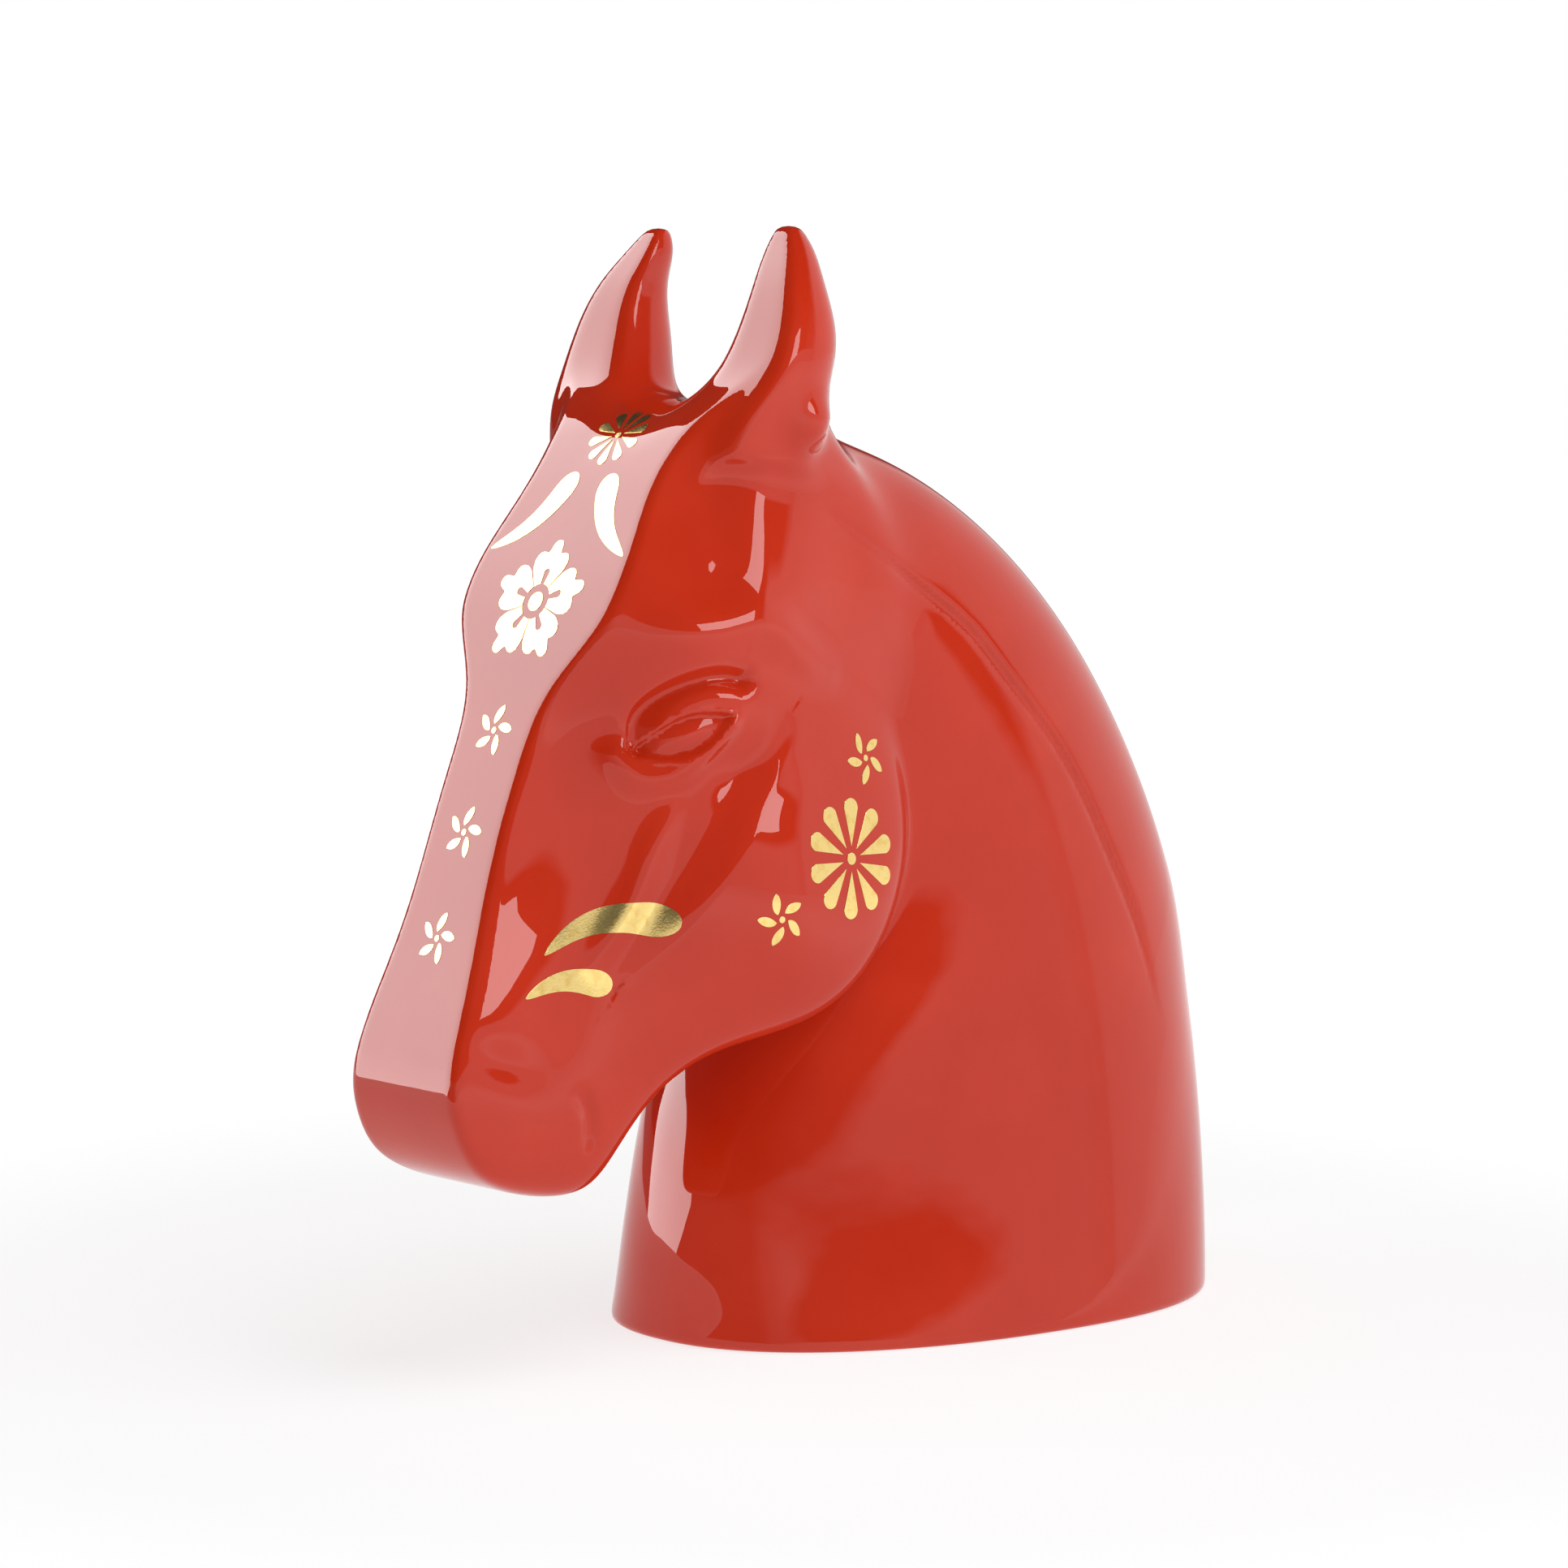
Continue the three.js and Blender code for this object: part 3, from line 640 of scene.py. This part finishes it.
def stroke(length, width, bow):
    """A bent drop: round head at the origin, tail at (length, 0), swelling to one side on the way."""
    head_end, tail_end, taper = 0.2, 0.995, 0.6
    head_steps = [0.002, 0.012, 0.03, 0.06, 0.1, 0.15]
    along = np.concatenate([head_steps, np.linspace(head_end, tail_end, 20)])
    line = np.stack([along * length, bow * np.sin(math.pi * along)], 1)
    head = np.sqrt(1 - (1 - np.minimum(along / head_end, 1)) ** 2)
    return [strip(line, width / 2 * head * (1 - along) ** taper, 8)]


def lay(flat, place):
    """Flat points laid on the surface the way the place faces: one layer over the glaze, one under."""
    step, least_steep, reach = 0.05, 0.15, 4
    centre, right, up, out, turn = place
    c, s = math.cos(turn), math.sin(turn)
    across, along = flat[:, 0] * c - flat[:, 1] * s, flat[:, 0] * s + flat[:, 1] * c
    points = centre + np.outer(across, right) + np.outer(along, up)
    layers = []
    for level, passes in ((FILM, 9), (-FILM, 2)):
        for _ in range(passes):
            value = bust_field(*points.T)
            steep = (bust_field(*(points + step * out).T) - value) / step
            move = np.clip((level - value) / np.maximum(steep, least_steep), -reach, reach)
            points = points + move[:, None] * out
        layers.append(points)
    return layers


def tiles_of(rows, columns, under):
    """Faces of a closed film over a grid: tops, undersides and a wall round the rim."""
    number = np.arange(rows * columns).reshape(rows, columns)
    corners = number[:-1, :-1], number[1:, :-1], number[1:, 1:], number[:-1, 1:]
    top = np.stack(corners, -1).reshape(-1, 4)
    rim = np.concatenate([number[:-1, 0], number[-1, :-1], number[:0:-1, -1], number[0, :0:-1]])
    following = np.roll(rim, -1)
    wall = np.stack([rim, rim + under, following + under, following], 1)
    return np.concatenate([top, top[:, ::-1] + under, wall])


def transfer(name, shape, place, mirror=1):
    """A gold transfer: each petal of the shape as a film on the surface, in one object for its node."""
    flat = np.concatenate([grid.reshape(-1, 2) for grid in shape])
    points = np.concatenate(lay(flat, place))
    faces, first = [], 0
    for grid in shape:
        rows, columns = grid.shape[:2]
        tiles = tiles_of(rows, columns, len(flat)) + first
        (down_x, down_y), (right_x, right_y) = grid[1, 0] - grid[0, 0], grid[0, 1] - grid[0, 0]
        if down_x * right_y - down_y * right_x < 0:
            tiles = tiles[:, ::-1]
        faces.append(tiles)
        first += rows * columns
    faces = np.concatenate(faces)
    if mirror < 0:
        points = points * (-1, 1, 1)
        faces = faces[:, ::-1]
    made = new_object(name + "_gold", points, faces, unit(gradient(bust_field, points)))
    made.data.materials.append(gold)
    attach(made, "root")
    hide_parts(name)


def on_face(y, z, pitch, turn=0.0, x=0.0):
    """A place on the front of the head: its middle, right, up and outward directions, and its turn."""
    p = math.radians(pitch)
    return (
        np.array([x, y, z], float),
        np.array([1.0, 0, 0]),
        np.array([0, math.sin(p), math.cos(p)]),
        np.array([0, -math.cos(p), math.sin(p)]),
        turn,
    )


def on_cheek(y, z, turn, x=40.0):
    """A place on the left side of the head, seen from the side."""
    across, up, out = np.eye(3)[[1, 2, 0]]
    return np.array([x, y, z], float), across, up, out, turn


def make_transfers():
    transfer("crown_daisy", daisy(10), on_face(-58, 245, 45))
    transfer("forehead_blossom", blossom(18), on_face(-86, 202, 27))
    for i, (y, z, pitch) in enumerate([(-100, 169, 21), (-110, 143, 20), (-119, 116, 19)]):
        transfer(f"bridge_pinwheel_{i + 1}", pinwheel(PINWHEEL), on_face(y, z, pitch, -0.22))
    for side, mirror in (("left", 1), ("right", -1)):
        for name, shape, place in (
            ("brow_stroke_", stroke(32, 9, -4), on_face(-66, 235, 33, -0.86, 7)),
            ("cheek_daisy_", daisy(16), on_cheek(-16, 133, -0.1)),
            ("cheek_pinwheel_upper_", pinwheel(PINWHEEL), on_cheek(-7, 159, 0.36)),
            ("cheek_pinwheel_lower_", pinwheel(PINWHEEL), on_cheek(-42, 119, 0.26)),
            ("cheek_stroke_upper_", stroke(34, 10, -5), on_cheek(-68, 119, math.pi + 0.2, 34)),
            ("cheek_stroke_lower_", stroke(24, 8, -3), on_cheek(-84, 103, math.pi + 0.06, 28)),
        ):
            transfer(name + side, shape, place, mirror)


# ------------------------------------------------------------------ materials
def principled(name):
    material = bpy.data.materials.new(name)
    material.use_nodes = True
    return material, material.node_tree.nodes, material.node_tree.links


def noise(nodes, links, scale, detail):
    """Noise over the piece's own place in the row frame, at that many features to the metre."""
    place = nodes.new("ShaderNodeTexCoord")
    made = nodes.new("ShaderNodeTexNoise")
    made.inputs["Scale"].default_value = scale
    made.inputs["Detail"].default_value = detail
    links.new(place.outputs["Object"], made.inputs["Vector"])
    return made.outputs["Fac"]


def colours(nodes, links, source, *stops):
    """A colour ramp over a node's factor."""
    made = nodes.new("ShaderNodeValToRGB")
    while len(made.color_ramp.elements) < len(stops):
        made.color_ramp.elements.new(0.5)
    for element, (position, colour) in zip(made.color_ramp.elements, stops):
        element.position = position
        element.color = (*colour, 1)
    links.new(source, made.inputs["Fac"])
    return made.outputs["Color"]


def between(nodes, links, source, low, high, start=0.0, end=1.0):
    """A value that goes from low to high as the source goes from start to end."""
    made = nodes.new("ShaderNodeMapRange")
    made.inputs["From Min"].default_value = start
    made.inputs["From Max"].default_value = end
    made.inputs["To Min"].default_value = low
    made.inputs["To Max"].default_value = high
    links.new(source, made.inputs["Value"])
    return made.outputs["Result"]


def bump(nodes, links, source, height):
    """Bumps of the given height in metres."""
    made = nodes.new("ShaderNodeBump")
    made.inputs["Distance"].default_value = height
    made.inputs["Strength"].default_value = 1.0
    links.new(source, made.inputs["Height"])
    return made.outputs["Normal"]


def red_glaze():
    """Thick red glaze, clouded where it pooled, with a faint ripple in its clear, mirror-like skin."""
    material, nodes, links = principled("red_glaze")
    shader = nodes["Principled BSDF"]
    cloud = noise(nodes, links, scale=28.0, detail=4.0)
    tone = colours(nodes, links, cloud, (0.3, GLAZE_DEEP), (0.55, GLAZE_RED), (0.75, GLAZE_THIN))
    links.new(tone, shader.inputs["Base Color"])
    speckle = noise(nodes, links, scale=900.0, detail=2.0)
    mottle = between(nodes, links, speckle, low=0.3, high=0.42)
    links.new(mottle, shader.inputs["Roughness"])
    shader.inputs["Specular IOR Level"].default_value = 0.0
    shader.inputs["Coat Weight"].default_value = 1.0
    shader.inputs["Coat Roughness"].default_value = 0.012
    shader.inputs["Coat IOR"].default_value = 1.48
    ripple = bump(nodes, links, noise(nodes, links, scale=42.0, detail=2.0), height=0.00008)
    links.new(ripple, shader.inputs["Coat Normal"])
    return material


def gold_lustre():
    """Fired gold: bright and thin, a little worn and speckled where it was brushed on."""
    material, nodes, links = principled("gold_lustre")
    shader = nodes["Principled BSDF"]
    wear = noise(nodes, links, scale=420.0, detail=5.0)
    tone = colours(nodes, links, wear, (0.3, GOLD_WORN), (0.5, GOLD_BRIGHT))
    links.new(tone, shader.inputs["Base Color"])
    shader.inputs["Metallic"].default_value = 1.0
    brushwork = noise(nodes, links, scale=150.0, detail=4.0)
    brushed = between(nodes, links, brushwork, low=0.08, high=0.24)
    links.new(brushed, shader.inputs["Roughness"])
    grain = bump(nodes, links, noise(nodes, links, scale=1600.0, detail=2.0), height=0.00002)
    links.new(grain, shader.inputs["Normal"])
    return material


def bisque():
    """Unglazed fired clay: matt, pale and finely gritty."""
    material, nodes, links = principled("bisque")
    shader = nodes["Principled BSDF"]
    speck = noise(nodes, links, scale=700.0, detail=5.0)
    tone = colours(nodes, links, speck, (0.35, CLAY_DARK), (0.5, CLAY), (0.8, CLAY_PALE))
    links.new(tone, shader.inputs["Base Color"])
    dust = noise(nodes, links, scale=90.0, detail=3.0)
    dusty = between(nodes, links, dust, low=0.78, high=0.95)
    links.new(dusty, shader.inputs["Roughness"])
    shader.inputs["Specular IOR Level"].default_value = 0.25
    grit = bump(nodes, links, noise(nodes, links, scale=1400.0, detail=4.0), height=0.00012)
    links.new(grit, shader.inputs["Normal"])
    return material


# ------------------------------------------------------------------ stage, in metres and degrees
AIM = Vector((0, 0, 0.15))  # the softboxes face the middle of the bust
CAMERA_AZIMUTH, CAMERA_ELEVATION = 49, 5.6
CAMERA_DISTANCE, CAMERA_AIM_HEIGHT = 1.335, 0.1485
LENS, SENSOR = 111.8, 36.0
FLOOR_REACH, FLOOR_FRONT = 6.0, -0.5

# Softboxes: azimuth from the front towards the horse's left, elevation, distance, width, height,
# radiance and roll. Those reflected show in the glaze and the gold, and light nothing else. Those
# unseen light the bust and the floor, and no reflection shows them.
REFLECTED = {
    "card_left": (-53, 19.5, 1.6, 1.25, 2.05, 5.6, 32),
    "card_right": (109, 18.7, 1.6, 0.55, 0.53, 5.2, 0),
}
UNSEEN = {
    "key": (110, 64, 2.0, 1.8, 1.8, 2.5, 0),
    "fill_left": (-45, 18, 1.8, 1.6, 1.6, 1.5, 0),
    "fill_front": (62, 8, 2.2, 2.0, 2.0, 1.45, 0),
}


def direction(azimuth, elevation):
    a, e = math.radians(azimuth), math.radians(elevation)
    return Vector((math.sin(a) * math.cos(e), -math.cos(a) * math.cos(e), math.sin(e)))


def softbox(name, azimuth, elevation, distance, width, height, radiance, roll):
    light = bpy.data.lights.new(name, "AREA")
    light.shape = "RECTANGLE"
    light.size, light.size_y = width, height
    light.energy = radiance * width * height * math.pi
    made = bpy.data.objects.new(name, light)
    made.location = AIM + direction(azimuth, elevation) * distance
    made.rotation_mode = "QUATERNION"
    facing = (made.location - AIM).to_track_quat("Z", "Y")
    made.rotation_quaternion = facing @ Quaternion((0, 0, 1), math.radians(roll))
    bpy.context.scene.collection.objects.link(made)
    return made


def ramp(nodes, links, source, *stops):
    """A grey level that changes between two places of the source."""
    made = nodes.new("ShaderNodeValToRGB")
    for element, (position, value) in zip(made.color_ramp.elements, stops):
        element.position = position
        element.color = (value, value, value, 1)
    links.new(source, made.inputs[0])
    return made.outputs[0]


def combine(nodes, links, operation, first, second):
    made = nodes.new("ShaderNodeMath")
    made.operation = operation
    links.new(first, made.inputs[0])
    links.new(second, made.inputs[1])
    return made.outputs[0]


def vector_node(nodes, links, operation, source):
    made = nodes.new("ShaderNodeVectorMath")
    made.operation = operation
    links.new(source, made.inputs[0])
    return made


def make_floor():
    """White paper that glows, less so near the bust, and ends in front of it, outside the picture."""
    far = FLOOR_REACH
    corners = [(-far, FLOOR_FRONT, 0), (far, FLOOR_FRONT, 0), (far, far, 0), (-far, far, 0)]
    mesh = bpy.data.meshes.new("floor")
    mesh.from_pydata(corners, [], [(0, 1, 2, 3)])
    floor = bpy.data.objects.new("floor", mesh)
    bpy.context.scene.collection.objects.link(floor)
    material, nodes, links = principled("floor_paper")
    shader = nodes["Principled BSDF"]
    shader.inputs["Base Color"].default_value = (0.3, 0.3, 0.3, 1)
    shader.inputs["Roughness"].default_value = 0.9
    shader.inputs["Specular IOR Level"].default_value = 0.0
    shader.inputs["Emission Color"].default_value = (1, 1, 1, 1)
    place = nodes.new("ShaderNodeTexCoord")
    nearness = vector_node(nodes, links, "LENGTH", place.outputs["Object"])
    glow = between(nodes, links, nearness.outputs["Value"], low=0.75, high=1.05, start=0.25, end=0.9)
    links.new(glow, shader.inputs["Emission Strength"])
    mesh.materials.append(material)


def make_world():
    """The studio: white to the camera, and in the glaze lightest low on the horse's left and behind."""
    world = bpy.data.worlds.new("studio")
    bpy.context.scene.world = world
    world.use_nodes = True
    nodes, links = world.node_tree.nodes, world.node_tree.links
    sky = nodes.new("ShaderNodeTexCoord").outputs["Generated"]
    split = nodes.new("ShaderNodeSeparateXYZ")
    links.new(sky, split.inputs[0])
    level = ramp(nodes, links, split.outputs["Z"], (0.105, 0.92), (0.13, 0.16))
    aside = ramp(nodes, links, split.outputs["X"], (0.5, 0.25), (0.8, 1.0))
    low = combine(nodes, links, "MULTIPLY", level, aside)
    behind = vector_node(nodes, links, "DOT_PRODUCT", sky)
    behind.inputs[1].default_value = (0.1, 0.995, 0)
    back = ramp(nodes, links, behind.outputs["Value"], (0.7, 0.0), (0.78, 1.0))
    both = combine(nodes, links, "MAXIMUM", low, back)
    to_camera = nodes.new("ShaderNodeLightPath").outputs["Is Camera Ray"]
    seen = combine(nodes, links, "MAXIMUM", both, to_camera)
    links.new(seen, nodes["Background"].inputs["Color"])


def make_lights():
    for name, sizes in REFLECTED.items():
        softbox(name, *sizes).visible_diffuse = False
    for name, sizes in UNSEEN.items():
        softbox(name, *sizes).visible_glossy = False


def make_camera():
    camera = bpy.data.cameras.new("camera")
    camera.sensor_width = SENSOR
    camera.lens = LENS
    made = bpy.data.objects.new("camera", camera)
    bpy.context.scene.collection.objects.link(made)
    bpy.context.scene.camera = made
    back = direction(CAMERA_AZIMUTH, CAMERA_ELEVATION)
    made.location = Vector((0, -CENTRE_Y / 1000, CAMERA_AIM_HEIGHT)) + back * CAMERA_DISTANCE
    made.rotation_mode = "QUATERNION"
    made.rotation_quaternion = back.to_track_quat("Z", "Y")
    camera.clip_start, camera.clip_end = 0.05, 100.0


# ------------------------------------------------------------------ the scene
make_camera()
make_floor()
make_world()
make_lights()
bpy.context.scene.view_settings.view_transform = "Standard"

glaze = red_glaze()
gold = gold_lustre()
body = make_body()
body.data.materials.append(glaze)
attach(body, "root")
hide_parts("neck_casting", "head_casting", "ear_left", "ear_right")
make_transfers()
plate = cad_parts["base_plate"]
plate.data.materials.clear()
plate.data.materials.append(bisque())
